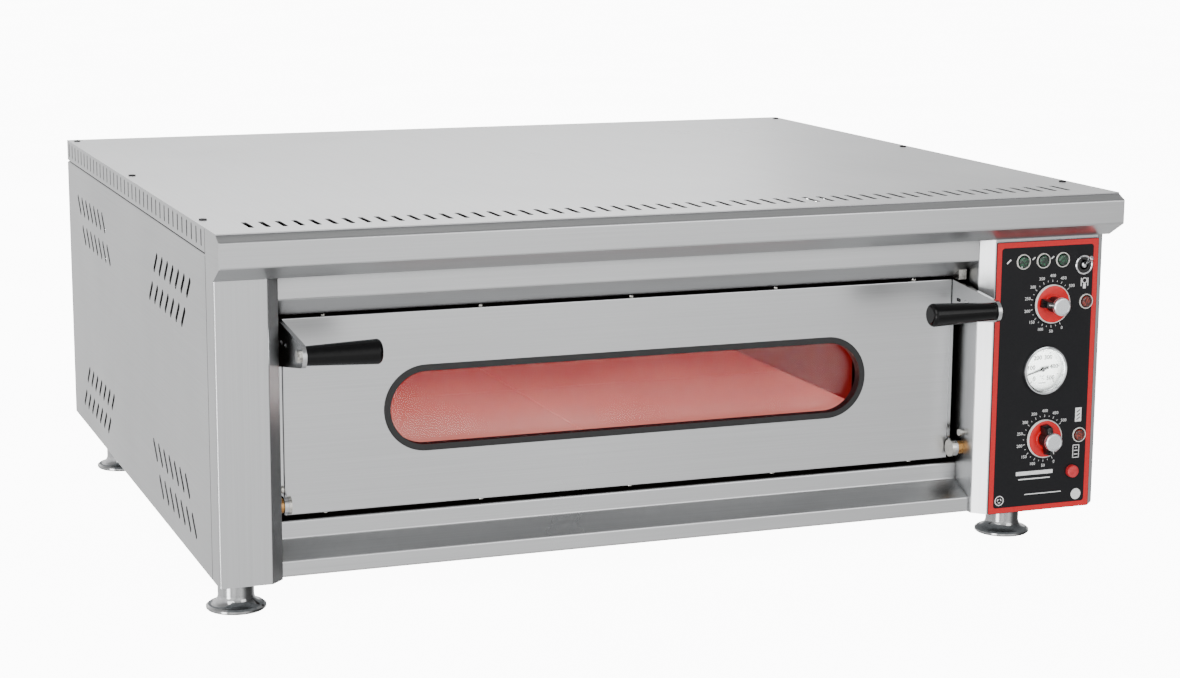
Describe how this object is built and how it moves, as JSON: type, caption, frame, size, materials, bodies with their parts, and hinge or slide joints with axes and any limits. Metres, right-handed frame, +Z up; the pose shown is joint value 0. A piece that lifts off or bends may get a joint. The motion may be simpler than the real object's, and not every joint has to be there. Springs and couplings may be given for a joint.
{
  "type": "deck oven",
  "caption": "Single-deck electric baking oven in brushed stainless sheet, with a bottom-hinged windowed door and a control panel on its right.",
  "frame": {"origin": "middle of the whole object box at the surface the feet stand on", "axes": "+X to the user's right across the front, +Y from the door to the back, +Z up"},
  "size_m": [1.2064, 1.129, 0.4668],
  "materials": {
    "satin_stainless": "satin brushed folded sheet",
    "galvanised_steel": "dull zinc coated sheet",
    "chrome_feet": "bright plated turned feet",
    "fascia_print": "satin printed aluminium plate",
    "grip_bakelite": "satin moulded phenolic",
    "knob_black": "semi gloss moulding",
    "knob_disc": "gloss moulding with white rim",
    "gauge_bezel": "bright polished bezel",
    "gauge_face": "satin printed dial",
    "gauge_needle": "matt paint",
    "clear_glass": "clear toughened",
    "lamp_housing": "gloss moulding",
    "green_lens": "translucent moulding",
    "amber_lens": "translucent moulding",
    "switch_metal": "bright plated",
    "button_red": "gloss moulding",
    "black_silicone": "satin extruded silicone",
    "mineral_wool": "pressed fibre board",
    "firebrick": "fired refractory, open grain",
    "element_sheath": "heat darkened steel tube",
    "lamp_ceramic": "unglazed",
    "brass": "turned, worn bright",
    "zinc_fasteners": "zinc plated"
  },
  "bodies": {
    "oven": {"left_post": "satin_stainless", "control_column": "satin_stainless", "front_hood": "satin_stainless", "hood_end_caps": "satin_stainless", "lintel_panel": "satin_stainless", "sill_panel": "satin_stainless", "left_side_panel": "satin_stainless", "right_side_panel": "satin_stainless", "rear_panel": "satin_stainless", "top_cover": "satin_stainless", "deck_rails": "satin_stainless", "chamber_front_frame": "satin_stainless", "chamber_liner": "satin_stainless", "recess_fittings": "satin_stainless", "base_tray": "galvanised_steel", "chassis_frame": "galvanised_steel", "foot_front_left": "chrome_feet", "foot_front_right": "chrome_feet", "foot_rear_left": "chrome_feet", "foot_rear_right": "chrome_feet", "control_fascia": "fascia_print", "gauge_case": "gauge_bezel", "gauge_dial": "gauge_face", "gauge_glass": "clear_glass", "oven_lamp_glass": "clear_glass", "lamp_rings": "lamp_housing", "control_bodies": "lamp_housing", "cable_gland": "lamp_housing", "green_lamp_lenses": "green_lens", "amber_lamp_lenses": "amber_lens", "light_switch": "switch_metal", "door_seal": "black_silicone", "chamber_insulation": "mineral_wool", "baking_stones": "firebrick", "top_heating_elements": "element_sheath", "bottom_heating_elements": "element_sheath", "oven_lamp_holder": "lamp_ceramic", "hinge_bushes": "brass", "cover_screws": "zinc_fasteners"},
    "door": {"door_skin": "satin_stainless", "door_inner_pan": "satin_stainless", "door_insulation": "mineral_wool", "window_gasket": "black_silicone", "outer_glass": "clear_glass", "inner_glass": "clear_glass", "left_door_arm": "satin_stainless", "right_door_arm": "satin_stainless", "left_grip": "grip_bakelite", "right_grip": "grip_bakelite", "grip_bolts": "zinc_fasteners", "hinge_bolts": "zinc_fasteners", "door_edge_screws": "zinc_fasteners"},
    "upper_knob": {"upper_knob": "knob_black", "upper_knob_dial": "knob_disc"},
    "lower_knob": {"lower_knob": "knob_black", "lower_knob_dial": "knob_disc"},
    "gauge_needle": {"gauge_needle": "gauge_needle"},
    "switch_lever": {"switch_lever": "switch_metal"},
    "reset_button": {"reset_button": "button_red"}
  },
  "joints": [
    {"name": "door_hinge", "type": "hinge", "parent": "oven", "child": "door", "pos_m": [-0.04985, -0.4525, 0.122], "axis": [1, 0, 0], "range_deg": [0, 85]},
    {"name": "upper_knob_turn", "type": "hinge", "parent": "oven", "child": "upper_knob", "pos_m": [0.51815, -0.501, 0.3185], "axis": [0, 1, 0], "range_deg": [0, 280]},
    {"name": "lower_knob_turn", "type": "hinge", "parent": "oven", "child": "lower_knob", "pos_m": [0.51415, -0.501, 0.137], "axis": [0, 1, 0], "range_deg": [0, 280]},
    {"name": "gauge_needle_turn", "type": "hinge", "parent": "oven", "child": "gauge_needle", "pos_m": [0.51115, -0.4995, 0.23], "axis": [0, 1, 0], "range_deg": [0, 240], "stiffness_Nm_per_rad": 0.0005, "springref_deg": -22.92},
    {"name": "light_switch_tilt", "type": "hinge", "parent": "oven", "child": "switch_lever", "pos_m": [0.56515, -0.5005, 0.368], "axis": [1, 0, 0], "range_deg": [0, 64]},
    {"name": "reset_button_push", "type": "slide", "parent": "oven", "child": "reset_button", "axis": [0, 1, 0], "range_m": [0, 0.004], "stiffness_N_per_m": 400, "springref_m": -0.002}
  ]
}
